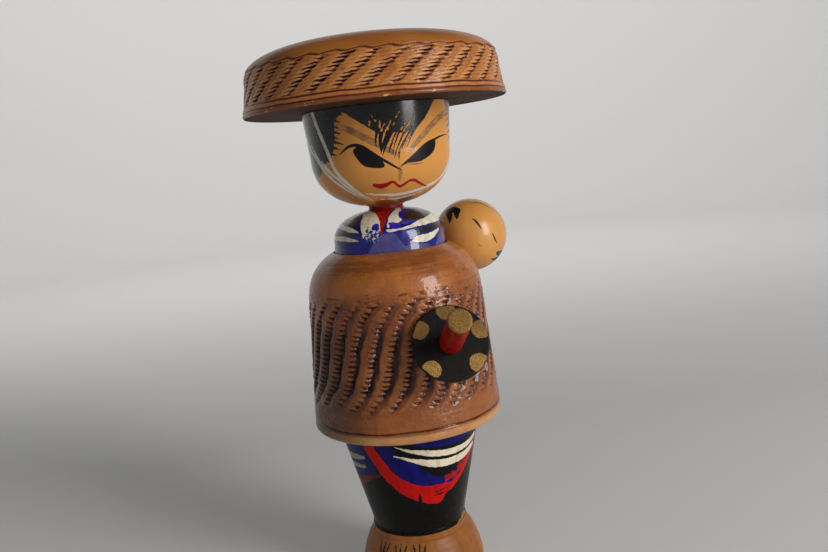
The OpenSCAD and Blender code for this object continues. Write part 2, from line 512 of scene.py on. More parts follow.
def area_light(name, azimuth, elevation, distance, size, power, colour, aim=0.11):
    data = bpy.data.lights.new(name, "AREA")
    data.shape = "RECTANGLE"
    data.size, data.size_y = size
    data.energy = power
    data.color = colour
    light = bpy.data.objects.new(name, data)
    bpy.context.scene.collection.objects.link(light)
    a, e = math.radians(azimuth), math.radians(elevation)
    offset = Vector((math.sin(a) * math.cos(e), -math.cos(a) * math.cos(e), math.sin(e))) * distance
    target = Vector((0, 0, aim))
    light.location = target + offset
    light.rotation_euler = (-offset).to_track_quat("-Z", "Y").to_euler()
    return light


def make_lights():
    world = bpy.data.worlds.new("studio")
    world.use_nodes = True
    sky = world.node_tree.nodes["Background"]
    sky.inputs["Color"].default_value = (0.92, 0.96, 1.0, 1)
    sky.inputs["Strength"].default_value = 0.06
    bpy.context.scene.world = world
    area_light("window", VIEW_TURN + 50, 17, 0.8, (0.26, 0.5), 4.8, (1.0, 0.985, 0.96))
    area_light("fill", VIEW_TURN - 15, 30, 1.2, (0.7, 0.7), 0.4, (0.92, 0.96, 1.0))
    backdrop = area_light(
        "backdrop_light", VIEW_TURN + 180, 60, 0.9, (1.6, 0.5), 13, (0.99, 0.99, 1.0), 0.2,
    )
    away = Vector((-math.sin(math.radians(VIEW_TURN)), math.cos(math.radians(VIEW_TURN)), -0.3))
    backdrop.rotation_euler = away.to_track_quat("-Z", "Y").to_euler()


bpy.context.scene.view_settings.view_transform = "Standard"
make_camera()
make_stage()
make_lights()


# ---------------------------------------------------------------- base
def build_base():
    edge = 0.8
    shoulder_h = BASE_H - BASE_NECK_H - BASE_WALL_H
    wall = crown(BASE_R - BASE_TOP_R, shoulder_h, 1.4) + [BASE_TOP_R, BASE_WALL_H]
    outline = dense([
        [(0, 0), (BASE_R - edge, 0)], arc(BASE_R - edge, edge, edge, -90, 0, 6), wall,
        [(BASE_TOP_R, BASE_H)], stem(BASE_BORE_R, BASE_H, BASE_H - BASE_BORE_H),
    ], lambda z: 0.5)

    def turning(az, z, r):
        return 0.06 * (1 + np.sin(z * 2.1)) * (z > 1) * (z < BASE_H - 0.5)

    piece, az, z = turned("turned_base", outline, azimuths(VIEW_TURN, 70, 0.5, 2.5), turning)
    paint = Canvas(az, z, BASE_R, VIEW_TURN)
    for middle in (-46, -25, -4):
        for lean in (-7, 0, 7):
            foot = (middle + 0.3 * lean, 13)
            paint.stroke(
                "ink", [foot, (middle + 0.6 * lean, 16.4), (middle + lean, 19.3)], [0.4, 0.5, 0.15],
            )
        paint.stroke("ink", [(middle - 8, 14.4), (middle, 13), (middle + 8, 14.6)], [0.1, 0.45, 0.1])
    paint.save(piece)
    m = Material("bare_wood")
    # The wood colours are darkened as painted shade, for the light falling off towards the bottom of the
    # doll.
    m.colour = wood(m, rgb(170, 108, 52), rgb(132, 76, 32))
    m.cover(m.painted("ink", 0.3), rgb(30, 22, 22))
    m.set(base_color=m.colour)
    varnish(m, 0.42, 0.15, 0.3)
    m.set(normal=m.bump(lathe_lines(m), 0.00012, 0.5))
    finish_piece(piece, "doll_body", "base", m)


# ---------------------------------------------------------------- lower body
def build_lower_body():
    foot_r, foot_h = BODY_FOOT_R + 0.2, 1.4
    outline = dense([
        stem(
            BASE_BORE_R, BASE_H, BASE_H + BASE_BORE_H,
        )[::-1], [(foot_r, BASE_H), (foot_r, BASE_H + foot_h / 2)],
        [(BODY_FOOT_R, BASE_H + foot_h), (BODY_R, BODY_TOP)],
        stem(BODY_BORE_R, BODY_TOP, BODY_TOP - BODY_BORE_H),
    ], lambda z: 0.28)
    piece, az, z = turned("kimono_skirt", outline, azimuths(VIEW_TURN, 95, 0.35, 1.2))
    paint = Canvas(az, z, 22, VIEW_TURN)
    paint.patch("blue", [
        (-32, 62), (-25, 52.5), (-16, 46.6), (-8, 43.4), (2, 41.2), (14, 40.4), (24, 40.6), (38, 41.2),
        (52, 43.4), (66, 47), (58, 46.8), (46, 45.2), (36, 44.2), (27, 44), (18, 45), (10, 47.4),
        (4, 50), (-3, 52.3), (-11, 54.6), (-16, 58), (-17, 66),
    ])
    paint.patch("blue", [(-12, 66), (0, 58.4), (12, 56.7), (30, 55.5), (48, 55.8), (64, 57.4), (70, 66)])
    paint.patch("blue", [
        (-178, 66), (-178, 44), (-120, 42), (-85, 41.6), (-60, 43.5), (-40, 46), (-37, 50), (-43, 66),
    ])
    paint.patch("blue", [(178, 66), (178, 44), (130, 44.5), (95, 46.5), (75, 49.5), (72, 66)])
    hem = [
        (-42, 66), (-36.5, 57), (-29, 50.2), (-22, 45.6), (-12, 42), (-4, 40.3), (4, 38.9), (12, 38),
        (20, 37.6),
    ]
    paint.stroke("red", hem, [2.0, 2.0, 2.2, 2.4, 2.7, 2.9, 3.2, 3.5, 3.6])
    paint.stroke("red", [(18, 38.2), (28, 38.9), (38, 39.6), (48, 42), (58, 46)], [3.0, 2.2, 1.3, 0.9, 0.8])
    paint.stroke("red", [(50, 44), (60, 48), (70, 54)], [0.4, 0.8, 0.7])
    paint.stroke(
        "dry_red", [(28, 42.4), (42, 43.6), (54, 46.4), (64, 50), (73, 56)], [0.7, 1.4, 1.9, 1.8, 1.2],
    )
    for x, z0 in ((30, 42), (36, 43), (41, 41.6), (46, 44.6), (51, 43.4), (56, 47)):
        paint.stroke("red", [(x - 2, z0 - 0.6), (x + 3, z0 + 0.8)], [0.3, 0.4])
    paint.patch("red", [(1.2, 34), (3.6, 34), (4, 36.6), (3, 38.8), (1.8, 39), (0.8, 37.4)], cut=True)
    for start, length, z0 in ((11, 13, 38.4), (16, 14, 37.3), (22, 10, 38.9), (8, 6, 36.2)):
        paint.patch("red", [
            (start, z0), (start + length / 2, z0 + 0.35), (start + length, z0 + 0.2),
            (start + length / 2, z0 - 0.1),
        ], cut=True)
    paint.stroke("under_red", [
        (-30, 46.9), (-40, 45.6), (-50, 44.1), (-62, 42.3), (-80, 40.6), (-110, 40), (-150, 41),
        (-180, 42),
    ], [0.25, 0.7, 1.1, 1.6, 1.7, 1.6, 1.5, 1.5])
    paint.stroke(
        "under_red", [(180, 42), (140, 42.5), (105, 44.5), (80, 47.5), (66, 49)],
        [1.5, 1.5, 1.5, 1.4, 1.2],
    )
    paint.stroke("cream", [
        (-15, 58.2), (-8, 57.1), (-1, 55.9), (8, 54.9), (18, 53.8), (30, 52.9), (42, 52.6), (54, 52.8),
        (68, 54),
    ], [0.1, 0.3, 0.65, 0.95, 1.15, 1.2, 1.2, 1.15, 0.9])
    paint.stroke("cream", [
        (-16, 54.6), (-8, 53.5), (0, 52.3), (9, 51), (18, 49.9), (29, 49.2), (41, 49), (52, 49.3),
        (66, 50.7),
    ], [0.1, 0.4, 0.75, 1.2, 1.4, 1.4, 1.45, 1.35, 1.0])
    paint.stroke("grey", [
        (-100, 49.5), (-75, 51), (-60, 52), (-51, 52.4), (-46, 52.8),
    ], [0.9, 1.2, 1.1, 0.9, 0.5])
    paint.stroke("grey", [
        (-102, 45.8), (-78, 47), (-65, 48), (-54, 48.6), (-48.5, 49),
    ], [0.7, 0.9, 0.9, 0.8, 0.4])
    for turn in (105, 125, -140, -160):
        paint.stroke("grey", [(turn - 9, 57), (turn, 52.8), (turn + 9, 49.4)], [0.5, 1.1, 0.3])
    paint.patch("bare", [(44, 20), (49, 21.8), (58, 22.8), (68, 23.4), (80, 23), (90, 22), (95, 20)])
    paint.save(piece)

    m = Material("kimono_skirt_paint")
    m.colour = brush_paint(m, rgb(13, 11, 10), 0.3)
    blue = brush_paint(m, rgb(16, 15, 104), 0.5)
    m.cover(m.painted("blue", 0.25, 300), blue)
    m.cover(m.painted("under_red", 0.2, 400), brush_paint(m, rgb(112, 12, 14), 0.4))
    m.cover(m.times(m.painted("dry_red", 1.8, 420), 0.85), rgb(160, 14, 18))
    m.cover(m.painted("red", 0.28, 500), brush_paint(m, rgb(198, 14, 6), 0.12))
    m.cover(m.painted("grey", 0.3, 600), rgb(150, 148, 128))
    m.cover(m.painted("cream", 0.22, 700), brush_paint(m, rgb(232, 220, 194), 0.03))
    m.cover(m.painted("bare", 0.35, 700), rgb(158, 106, 60))
    m.set(base_color=m.colour)
    varnish(m, 0.28, 0.05, 0.1, 0.12)
    layers = m.math("ADD", m.painted("cream", 0.22, 700), m.painted("red", 0.28, 500))
    m.set(normal=m.bump(m.times(layers, 0.6, m.noise(420, 3, 0.6, m.stretched(1, 1, 0.35))), 0.0001, 0.5))
    finish_piece(piece, "doll_body", "lower_body", m)


# ---------------------------------------------------------------- carved straw
RANDOM_GRID = 64
CUT_JITTER = RNG.uniform(-1, 1, (RANDOM_GRID, RANDOM_GRID))


def lumps(x, y):
    """Smooth random heights from -1 to 1, with one hill or dip for each unit of x and y."""
    i, j = np.floor(x).astype(int), np.floor(y).astype(int)
    s, t = smooth(0, 1, x - i), smooth(0, 1, y - j)

    def grid(a, b):
        return CUT_JITTER[a % RANDOM_GRID, b % RANDOM_GRID]

    below = grid(i, j) * (1 - s) + grid(i + 1, j) * s
    above = grid(i, j + 1) * (1 - s) + grid(i + 1, j + 1) * s
    return below * (1 - t) + above * t


def around(az, cells):
    """Azimuth as a cell number, for lumps that meet behind the doll; cells is a multiple of the grid."""
    return az / 360 * cells


def rope(u, v, pitch, left, right, jitter, point=0.0):
    """Stack of rounded teeth between left and right, with a notch below each one every pitch.
    u runs across the column and v along it, in mm. The notches open and deepen to the right,
    and each tooth's tip stands out by point. Returns the notches and the tops of the teeth, 0 to 1."""
    phase = np.abs((v / pitch) % 1 - 0.5) * 2
    fall = np.clip((u - left) / (right - left), 0, 1)
    width = 0.26 + 0.5 * fall + 0.1 * jitter
    notch = smooth(1 - width, 1.1 - 0.4 * width, phase)
    tip = right + point * (0.5 - phase**2)
    ends = smooth(
        left + 0.7 * jitter, left + 1.3 + 0.7 * jitter, u,
    ) * (1 - smooth(tip - 0.15, tip + 0.3, u))
    return notch * ends * (0.2 + 0.8 * fall), (1 - notch) * ends


CAPE_COLUMNS = 30
CAPE_LOW, CAPE_HIGH = 72.0, 109.0
CAPE_PITCH = 1.6


def cape_carving(az, z):
    """Returns the cut depth in mm, how dark the cuts are (burnt stain plus painted shade in the notches and
    trenches) and the lighter ridges between the trenches.
    """
    spacing = 360 / CAPE_COLUMNS
    mid = z - 90
    rough = lumps(around(az, 128), z / 3.1)
    lean = 0.44 * mid + 0.0016 * mid**3 - 17.5 + 0.7 * rough
    across = (az - VIEW_TURN - lean) / spacing + 0.5
    column = np.floor(across).astype(int) % CAPE_COLUMNS
    u = (across - np.floor(across) - 0.5) * spacing * math.radians(CARVED_CAPE_R)
    shift = CUT_JITTER[column, 0]
    v = z + 0.24 * u + 1.2 * shift + 0.35 * lumps(around(az, 64), z / 5)
    tooth = np.floor(v / CAPE_PITCH).astype(int) % RANDOM_GRID
    jitter = CUT_JITTER[column, tooth]
    u = u + 0.12 * shift + 0.22 * jitter
    top, bottom = CAPE_HIGH + 1.0 * shift, CAPE_LOW + 1.1 * CUT_JITTER[column, 1]
    inside = hill(bottom, bottom + 2.0, top - 2.5, top, z)
    core = hill(75.5, 80, 96, 103, z)
    notch, tops = rope(u, v, CAPE_PITCH, -3.1, 0.4, jitter, 0.9)
    trench = hill(-0.5, 0.4, 0.8, 2.5, u) * core
    slope = 0.4 * hill(-3.0, 0.4, 0.9, 2.8, u)
    bulge = 0.2 * tops * (1 - smooth(-1.2, 0.2, u))
    notched = 0.66 * notch * (1 + 0.35 * jitter) + 0.62 * trench
    depth = inside * (notched + slope * (0.4 + 0.6 * core) - bulge)
    slips = lumps(around(az, 64), z / 0.42 + 3 * np.floor(across)) * hill(101, 105, 110, 112.5, z)
    pecks = lumps(around(az, 192), z / 0.8) * (hill(100, 105, 110, 114, z) + 1 - smooth(71, 76, z))
    depth = depth + 0.2 * np.maximum(slips, 0) ** 1.5
    depth = depth + 0.05 * pecks * (z > GROOVE_Z + 2) + 0.05 * inside * rough
    # Darkness of the notches and, on the next line, of the trenches: burnt stain plus painted shade in the
    # cuts.
    dark = smooth(0.06, 0.45, notch) * (0.8 + 0.2 * core) * (0.85 + 0.3 * jitter)
    shade = (0.25 + 0.75 * core) * hill(-0.2, 0.4, 1.2, 2.9, u) * (0.95 - 0.3 * smooth(0.6, 1.8, u))
    burn_and_shade = inside * np.maximum(dark, shade) + 0.4 * smooth(0.15, 0.7, slips)
    ridge = inside * (1 - hill(-0.9, 0.2, 2.2, 3.2, u))
    return depth, burn_and_shade, ridge


def cape_step(z):
    """Longest stretch of the cape's outline at a height, in mm: short where it is carved."""
    if abs(z - GROOVE_Z) < 1.6:
        return 0.22
    return 0.29 if CAPE_LOW - 0.5 < z < CAPE_HIGH + 3.5 else 0.9


def groove_height(az):
    """Height of the groove above the cape's bead, which wanders a little."""
    return GROOVE_Z + 0.12 * np.sin(np.radians(az * 5)) + 0.08 * np.sin(np.radians(az * 13 + 40))

def build_cape():
    edge = arc(CAPE_R - EDGE_R, CAPE_Z + EDGE_R, EDGE_R, -90, 0, 8)

    def side_r(z):
        return CAPE_R - CAPE_TAPER * (z - CAPE_Z - EDGE_R)

    shoulder = crown(side_r(SHOULDER_Z), SHOULDER_H, 2.8, CAPE_TAPER, 60) + [0, SHOULDER_Z]
    seat_r = DOME_FOOT_R + GLUE_GAP
    shoulder = shoulder[shoulder[:, 0] > seat_r]
    recess_r = BODY_R + GLUE_GAP
    outline = dense([
        stem(
            BODY_BORE_R, BODY_TOP, BODY_TOP + BODY_BORE_H,
        )[::-1], [(recess_r, BODY_TOP), (recess_r, CAPE_Z)],
        edge, [(side_r(GROOVE_Z - 1), GROOVE_Z - 1), (side_r(GROOVE_Z + 1), GROOVE_Z + 1)],
        shoulder, [(seat_r, shoulder[-1, 1] + 0.1), (seat_r, DOME_SEAT_Z)],
        stem(SPIGOT_R + GLUE_GAP, DOME_SEAT_Z, SPIGOT_Z - 1),
    ], cape_step)
    seat_reach = CHILD_R + 0.25
    ring_r = outline[1:-1, 0]
    first = int(np.argmax(ring_r >= CAPE_R - EDGE_R))
    outside = (np.arange(len(ring_r)) > first) & (ring_r > seat_r + 0.01)
    outside = outside[:, None]

    def cut(az, z, r):
        depth = cape_carving(az, z)[0]
        height = z - groove_height(az)
        line, lip = bell(height, 0.3), 0.12 * bell(height + 1.1, 0.3)
        sag = np.sin(math.pi * np.clip((z - CAPE_LOW + 2) / (CAPE_HIGH - CAPE_LOW + 4), 0, 1))
        depth = outside * (depth + 0.45 * line + lip + 0.12 * sag)
        a = np.radians(az)
        gap = np.sqrt((r * np.sin(a) - CHILD.x) ** 2 + (-r * np.cos(a) - CHILD.y) ** 2 + (z - CHILD.z) ** 2)
        return depth + np.clip(seat_reach - gap, 0, 3) * (z > 100)

    piece, az, z = turned("straw_cape", outline, azimuths(0, 180, 360 / 600), cut)
    _, burn_and_shade, ridge = cape_carving(az, z)
    height = z - groove_height(az)
    line = bell(height, 0.42) + 0.5 * bell(height + 1.1, 0.3)
    mark(piece, "burn_and_shade", burn_and_shade * outside)
    mark(piece, "tops", ridge * outside)
    mark(piece, "plain", np.maximum(smooth(CAPE_HIGH - 2, CAPE_HIGH + 1, z), 0.3))
    mark(piece, "groove", line * outside)
    # darkens the carved zone as a stain, and the plain band below it about half as much as painted shade,
    # darker towards the bottom
    stain_and_falloff_shade = (1 - smooth(CAPE_HIGH - 4, CAPE_HIGH + 3, z)) * (0.45 + 0.55 * smooth(70, 76, z))
    mark(piece, "stain_and_falloff_shade", outside * stain_and_falloff_shade)
    # painted shade on the cape's side turned away from the window light (the doll's right), below the
    # shoulder
    left_side_shade = smooth(-16, -60, az - VIEW_TURN) * smooth(-150, -100, az - VIEW_TURN) * (1 - smooth(88, 108, z))
    mark(piece, "left_side_shade", outside * left_side_shade)
    # bead below the groove: lighter worn edge plus a painted highlight
    mark(piece, "bead_wear_and_highlight", outside * (1 - smooth(GROOVE_Z - 1.4, GROOVE_Z - 0.6, z)))

    m = Material("cape_stain")
    m.colour = wood(m, rgb(184, 110, 48), rgb(138, 76, 32), 160, 0.8)
    cloud = m.noise(45, 4, 0.6, m.stretched(1, 1, 2.2))
    m.cover(m.span(cloud, 0.42, 0.68, 0, 0.6), rgb(120, 58, 24))
    rings = m.noise(300, 4, 0.7, m.stretched(0.06, 0.06, 1), 0.5)
    plain = m.times(m.span(rings, 0.5, 0.66, 0, 0.6), m.attribute("plain"))
    m.cover(plain, rgb(104, 52, 26))
    stains = m.noise(130, 5, 0.75, m.stretched(0.5, 0.5, 1.6))
    m.cover(m.span(stains, 0.6, 0.68, 0, 0.5), rgb(76, 38, 22))
    # multiplies in the stain over the carved zone and painted shade lower down
    m.cover(m.attribute("stain_and_falloff_shade"), rgb(192, 176, 170), "MULTIPLY")
    m.cover(m.times(m.attribute("tops"), m.span(cloud, 0.35, 0.6, 0.75, 0.3)), rgb(176, 106, 54))
    # lighter, yellower bead: worn edge and painted highlight
    m.cover(m.times(m.attribute("bead_wear_and_highlight"), m.span(cloud, 0.35, 0.6, 0.3, 0.8)), rgb(214, 160, 104))
    # burnt stain and painted shade in the notches and trenches
    fleck = m.frayed(m.attribute("burn_and_shade"), 0.6, 1100)
    m.cover(m.span(fleck, 0.1, 0.5), rgb(88, 42, 36))
    m.cover(m.span(fleck, 0.5, 1.0), rgb(30, 12, 20))
    edge_line = m.frayed(m.attribute("groove"), 1.2, 260)
    m.cover(m.span(edge_line, 0.3, 0.9, 0, 0.85), rgb(58, 28, 20))
    # painted shade multiplied over that side, patchy with the cloud noise
    patchy_left_shade = m.times(m.attribute("left_side_shade"), m.span(cloud, 0.3, 0.55, 0.5, 1))
    m.cover(patchy_left_shade, rgb(150, 150, 140), "MULTIPLY")
    m.set(base_color=m.colour)
    varnish(m, 0.36, 0.5, 0.11, 0.25)
    hammered = m.times(m.noise(480, 3, 0.6), m.times(m.attribute("stain_and_falloff_shade"), 0.7, 1.4))
    scored = m.times(m.noise(700, 4, 0.7, m.stretched(0.35, 0.35, 1)), m.attribute("stain_and_falloff_shade"))
    rough_cut = m.times(m.noise(900, 3, 0.6), 0.5, m.times(scored, 1.2, lathe_lines(m, 1500)))
    m.set(normal=m.bump(m.math("ADD", rough_cut, hammered), 0.0003, 0.7))
    finish_piece(piece, "doll_body", "cape", m)


# ---------------------------------------------------------------- shoulders
def build_shoulders():
    dome = crown(DOME_R, NECK_Z - DOME_Z, 2.4) + [0, DOME_Z]
    dome = dome[dome[:, 0] > BODY_BORE_R]
    outline = dense([
        stem(SPIGOT_R, DOME_SEAT_Z, SPIGOT_Z)[::-1], [(DOME_FOOT_R, DOME_SEAT_Z)],
        dome, stem(BODY_BORE_R, NECK_Z, NECK_Z - PEG_SEAT_H),
    ], lambda z: 0.16 if z > DOME_Z - 5 else 1.0)
    piece, az, z = turned("kimono_shoulders", outline, azimuths(VIEW_TURN, 95, 0.4, 1.2))
    paint = Canvas(az, z, DOME_R, VIEW_TURN)
    # collar: two cream lapels with blue dabs and a red undershirt between them
    paint.patch("cream", [
        (-56, 136.2), (-40, 134.6), (-33, 132.2), (-28, 129.6), (-20, 128), (-12, 128), (-8, 131),
        (-12, 134), (-22, 136),
    ])
    paint.patch("cream", [
        (-1.5, 131.4), (1.7, 133.8), (6, 134.9), (12, 135.5), (24, 136.1), (40, 136.6), (46, 136.3),
        (28, 135.5), (18, 134.8), (15.5, 133.8), (17, 132.8), (13, 132.2), (6, 132.2), (2, 132),
        (0.5, 130.9),
    ])
    for x, top, bottom in (
        (-27, 129, 127.6), (-23.5, 128.4, 126.6), (-20, 128.6, 127), (-16, 128.4, 126.4),
        (-12.5, 128.4, 127.2),
    ):
        paint.stroke("cream", [(x, top), (x + 0.6, bottom)], [0.45, 0.12])
    paint.patch("blue_dab", [
        (-18, 130.6), (-17.6, 132.1), (-13, 132.6), (-10, 132), (-10, 130.8), (-13, 130.2),
    ])
    paint.patch("broken", [
        (-24, 131.4), (-19, 130.6), (-14, 130), (-8, 129.8), (-9, 127), (-18, 126.2), (-27, 127),
        (-25, 129),
    ])
    paint.patch("blue_dab", [(0, 132.3), (6, 132.3), (13, 131.9), (13, 130.8), (8, 130.3), (3, 130.6)])
    # left sleeve: cream wedges that widen towards the side, with black brushed between them
    paint.patch("black", [
        (20, 133), (32, 135), (54, 135.2), (100, 134.2), (100, 132.6), (50, 132.4), (32, 132.3),
    ])
    paint.patch("cream", [
        (-2, 130.3), (12, 130.3), (22, 130.8), (34, 131.8), (66, 133), (100, 133.4), (100, 130.8),
        (50, 130.4), (28, 130.1), (12, 129.7), (0, 129.4),
    ])
    paint.patch("black", [
        (27, 128.6), (38, 129.5), (60, 129.9), (100, 129.9), (100, 128.3), (52, 128.1), (34, 127.6),
    ])
    paint.patch("cream", [
        (22, 125.6), (27, 126.9), (36, 127.3), (50, 127.6), (62, 128.2), (55, 126.4), (46, 125.2),
        (34, 124.8),
    ])
    # right sleeve: narrow cream points on black and blue
    paint.patch("black", [
        (-38, 132.4), (-40, 133.8), (-70, 135.4), (-110, 135), (-110, 131), (-76, 129.2), (-44, 129.2),
        (-32, 129.6), (-44, 131),
    ])
    paint.patch("cream", [
        (-33, 130), (-47, 131.7), (-84, 132.8), (-110, 133.4), (-110, 131.4), (-68, 131.2), (-45, 130.3),
    ])
    paint.patch("cream", [
        (-33, 127.2), (-43, 128.4), (-57, 129), (-76, 128.8), (-110, 129), (-110, 127.4), (-75, 127.4),
        (-60, 127.4),
    ])
    for side in (-1, 1):
        for z0 in (126.5, 130, 133):
            paint.patch("cream", [
                (side * 132, z0), (side * 145, z0 + 1.1), (side * 165, z0 + 0.8), (side * 165, z0 - 0.2),
                (side * 146, z0 - 0.5),
            ])
    # chalky grey-blue over the chest and on the side towards the light: worn paint plus painted sheen
    paint.patch("wear_sheen_shade", [
        (-22, 122), (-18, 125.4), (-11, 128), (-6, 128.9), (2, 129.4), (7, 128.4), (11, 126), (16, 124.4),
        (40, 124), (40, 121), (0, 120),
    ])
    paint.patch("wear_sheen_shade", [(52, 121), (54, 124.4), (62, 126.4), (70, 128), (84, 127.4), (92, 124), (90, 121)])
    paint.patch("red", [
        (-38, 137), (-33, 136), (-24, 135.5), (-16, 134.8), (-10.5, 133.6), (-9, 131.6), (-7.4, 128.8),
        (-4.4, 131.4), (-1, 133.6), (6, 135.4), (20, 136.3), (30, 137),
    ])
    collar_line = 136.1 + 0.15 * np.sin(np.radians(paint.az * 3))
    paint.layers["red"] = np.minimum(paint.layer("red"), collar_line - paint.z)
    seam_z = 122.6 + 0.3 * lumps(around(paint.az, 64), paint.z * 0)
    paint.layers["bare"] = paint.z - seam_z
    paint.save(piece)

    m = Material("kimono_shoulder_paint")
    m.colour = brush_paint(m, rgb(26, 20, 132), 0.5)
    # worn paint plus painted sheen: a lighter grey-blue over the chest and the lit side
    wear_sheen_shade = m.times(m.painted("wear_sheen_shade", 0.1, 300), m.span(m.noise(500, 3, 0.6), 0.3, 0.6, 0.5, 0.8))
    m.cover(wear_sheen_shade, rgb(84, 80, 132))
    m.cover(m.painted("black", 0.35, 400), rgb(22, 19, 20))
    cream_line = m.frayed(m.attribute("cream"), 0.9, 600, 4, 0.7)
    specks = m.times(m.painted("broken", 0.6, 500, 0.3), m.span(m.noise(1300, 3, 0.6), 0.46, 0.5))
    cream = m.times(m.span(cream_line, 0.06, -0.06), m.math("SUBTRACT", 1.0, specks))
    m.cover(cream, brush_paint(m, rgb(230, 222, 198), 0.06))
    m.cover(m.painted("blue_dab", 0.35, 500), rgb(34, 30, 160))
    m.cover(m.painted("red", 0.1, 500), brush_paint(m, rgb(166, 12, 8), 0.2))
    m.cover(m.painted("bare", 0.25, 500), rgb(150, 104, 70))
    m.set(base_color=m.colour)
    varnish(m, 0.28, 0.7, 0.05, 0.25)
    relief = m.times(cream, 0.4, m.noise(520, 3, 0.6))
    m.set(normal=m.bump(relief, 0.00035, 0.7))
    finish_piece(piece, "doll_body", "shoulders", m)


# ---------------------------------------------------------------- head
def build_head():
    jaw = crown(HEAD_R, JAW_H, 2.3, 0, 60)
    jaw = jaw[jaw[:, 0] > NECK_FLAT_R + 2][::-1] * [1, -1] + [0, HEAD_Z + JAW_H]
    brow_r = HEAD_R + BROW_FLARE * (CROWN_Z - HEAD_Z - JAW_H)
    outline = dense([
        stem(NECK_BORE_R, HEAD_Z + 0.05, HEAD_Z + NECK_BORE_H)[::-1],
        jaw, [(brow_r, CROWN_Z)], stem(CROWN_BORE_R, CROWN_Z, CROWN_Z - CROWN_BORE_H),
    ], lambda z: 0.24 if z > HEAD_Z + 1 else 0.6)
    piece, az, z = turned("painted_head", outline, azimuths(FACE_TURN, 66, 0.26, 1.1))
    paint = Canvas(az, z, 24.6, FACE_TURN)

    # forelock, brushed down to the nose, with bare scratches at its lower edge
    paint.patch("hair", [
        (-56, 174), (-47, 171.5), (-34, 167.3), (-23, 163.8), (-14, 160.8), (-9, 161.6), (1, 160.9),
        (8, 160.1), (15, 161.8), (24, 165.2), (34, 170.5), (38, 174),
    ], rounded=False)
    for x0, z0, x1, z1, w in (
        (-13, 161, -14.3, 155.6, 0.5), (-3.5, 162.6, -13.3, 154.5, 0.5), (-7.5, 161.5, -14.4, 155, 0.42),
        (-16, 161.5, -17.5, 157.2, 0.3), (1, 161.4, -6, 154.4, 0.22), (4, 160.6, -5, 153, 0.22),
        (-1, 161.6, -9, 154.8, 0.2), (8.4, 160.6, -1.4, 154.8, 0.2), (11, 162.4, 2.4, 156.4, 0.2),
        (15, 164.4, 1, 155.5, 0.22), (0, 155.4, -1, 151.3, 0.16), (-5, 158, -9.5, 153.6, 0.14),
        (17, 163.4, 6, 156.4, 0.22), (13, 161.6, 4, 156.6, 0.14), (3, 157.6, -2.6, 153.4, 0.12),
    ):
        mid = ((x0 + x1) / 2 - 0.6, (z0 + z1) / 2)
        paint.stroke("streak", [(x0, z0), mid, (x1, z1)], [w * 1.5, w, w * 0.35])
    for x0, z0, x1, z1, w in (
        (-18.5, 167, -16, 165.2, 0.2), (-13, 165, -13.4, 163, 0.3), (-10, 164, -12.4, 162, 0.32),
        (-4.6, 165, -8.8, 161.8, 0.36), (-2.5, 164, -7, 160.8, 0.26), (6, 163.6, -2.8, 159.6, 0.22),
        (9.6, 163.8, 1, 159.8, 0.26), (13, 163.2, 6.5, 160.4, 0.22), (2, 167.4, -1.4, 165.6, 0.12),
        (14.5, 165.6, 12, 164.2, 0.12), (-20, 165.2, -21, 163.8, 0.2),
    ):
        paint.stroke("gap", [(x0, z0), (x1, z1)], [w * 0.5, w])

    # side and back hair with brushed front edges
    paint.patch("hair", [
        (-47, 172), (-48, 166), (-50, 161), (-53, 157.4), (-57, 155.2), (-67, 152.8), (-79, 149.6),
        (-110, 148.6), (-181, 148.4), (-181, 173),
    ])
    paint.patch("hair", [
        (58, 172), (61, 165), (63, 160.5), (67, 156.4), (76, 153.4), (90, 150.8), (130, 148.8),
        (181, 148.4), (181, 173),
    ])
    for tip, z0, w in (
        (-40, 168.6, 0.5), (-42.5, 166.4, 0.6), (-44, 164.6, 0.5), (-43.5, 162.8, 0.5), (-45, 161.2, 0.5),
        (-42.5, 159.4, 0.4), (-45.5, 157.8, 0.5), (-50, 156.2, 0.5), (-56, 154.2, 0.4),
    ):
        paint.stroke("hair", [(tip - 13, z0 + 1.2), (tip - 6, z0 + 0.5), (tip, z0 - 0.4)], [1.0, w, 0.08])
    for tip, z0 in (
        (52, 168), (50, 166), (52, 164.2), (53, 162.4), (56, 160.4), (58, 158.4), (63, 156.4), (70, 154),
    ):
        paint.stroke("hair", [(tip + 13, z0 + 1.2), (tip + 7, z0 + 0.4), (tip, z0 - 0.6)], [0.9, 0.5, 0.08])

    # brows: thin parallel streaks of a nearly dry brush, fanning out towards the temples
    brow_widths = [0.2, 0.42, 0.45, 0.42, 0.36, 0.2]
    left_brow = [(-45, 165.4), (-37, 163.7), (-29, 161.5), (-20, 159), (-11, 156.5), (-3, 154.4)]
    right_brow = [(7, 154.8), (14, 157.3), (22, 160), (32, 163), (44, 165.6), (58, 167.6)]
    for path, offsets, spread, step in (
        (left_brow, (-1.1, -0.4, 0.3, 0.9), 1.0, -0.09), (right_brow, (-0.9, -0.3, 0.35, 0.9), 0.55, 0.09),
    ):
        for k, offset in enumerate(offsets):
            line = [(x, y + offset * (spread + step * n)) for n, (x, y) in enumerate(path)]
            shorter = k % 2
            line = line[shorter:] if path is left_brow else line[:len(line) - shorter]
            paint.stroke("brow", line, brow_widths[:len(line)])

